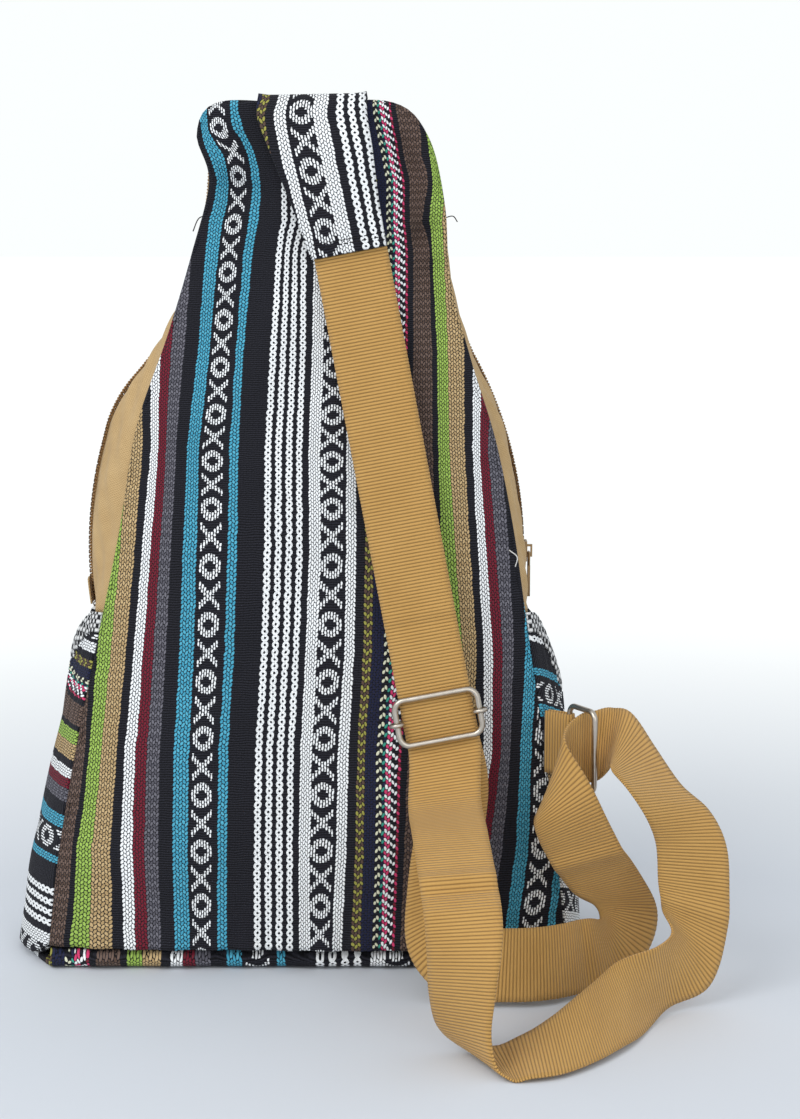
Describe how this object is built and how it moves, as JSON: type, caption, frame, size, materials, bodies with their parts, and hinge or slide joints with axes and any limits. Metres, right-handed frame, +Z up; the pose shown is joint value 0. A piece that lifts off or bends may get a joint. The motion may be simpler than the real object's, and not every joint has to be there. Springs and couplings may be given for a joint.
{
  "type": "crossbody backpack",
  "caption": "Tapered sling backpack in striped cotton with a zip round its top, side slip pockets and one webbing strap on a slide buckle and ring.",
  "frame": {"origin": "under the middle of the bag's flat bottom, on the surface it stands on", "axes": "+Z up the bag, -Y out of its back panel, +X towards the ring that the strap ends in"},
  "size_m": [0.3837, 0.278, 0.4679],
  "materials": {
    "weave": "woven",
    "weave_side": "woven",
    "canvas": "woven",
    "foam": "foam",
    "zip_tape": "woven",
    "elastic": "woven",
    "webbing": "ribbed",
    "zip_coil": "satin",
    "zip_metal": "satin",
    "nickel": "polished"
  },
  "bodies": {
    "bag": {"back_panel": "weave", "back_padding": "foam", "front_panel": "weave", "bottom_panel": "weave_side", "left_gusset": "weave_side", "right_gusset": "weave_side", "left_pocket": "weave_side", "right_pocket": "weave_side", "left_pocket_hem": "elastic", "right_pocket_hem": "elastic", "left_zip_end": "canvas", "right_zip_end": "canvas", "back_zip_band": "canvas", "front_zip_band": "canvas", "back_zip_tape": "zip_tape", "front_zip_tape": "zip_tape", "back_zip_coil": "zip_coil", "front_zip_coil": "zip_coil", "strap_base": "weave", "strap_webbing": "webbing", "ring_tab": "webbing"},
    "slider": {"zip_slider": "zip_metal"},
    "pull": {"zip_pull": "zip_metal"},
    "buckle": {"buckle_frame": "nickel"},
    "bar": {"buckle_bar": "nickel", "strap_end_loop": "webbing"},
    "ring": {"ring": "nickel"}
  },
  "joints": [
    {"name": "zip_slide", "type": "hinge", "parent": "bag", "child": "slider", "pos_m": [-0.0975, -0.008, 0.224], "axis": [0, -1, 0], "range_deg": [0, 27.5]},
    {"name": "pull_swing", "type": "hinge", "parent": "slider", "child": "pull", "pos_m": [0.12444, -0.008, 0.22198], "axis": [0, -1, 0], "range_deg": [0, 150]},
    {"name": "buckle_slide", "type": "slide", "parent": "bag", "child": "buckle", "axis": [-0.1855, 0.0726, 0.98], "range_m": [0, 0.17]},
    {"name": "bar_slide", "type": "slide", "parent": "buckle", "child": "bar", "axis": [-0.1855, 0.0726, 0.98], "range_m": [-0.004, 0.004]},
    {"name": "ring_swing", "type": "hinge", "parent": "bag", "child": "ring", "pos_m": [0.144, -0.06, 0.127], "axis": [0, 0, 1], "range_deg": [-15, 8]}
  ]
}
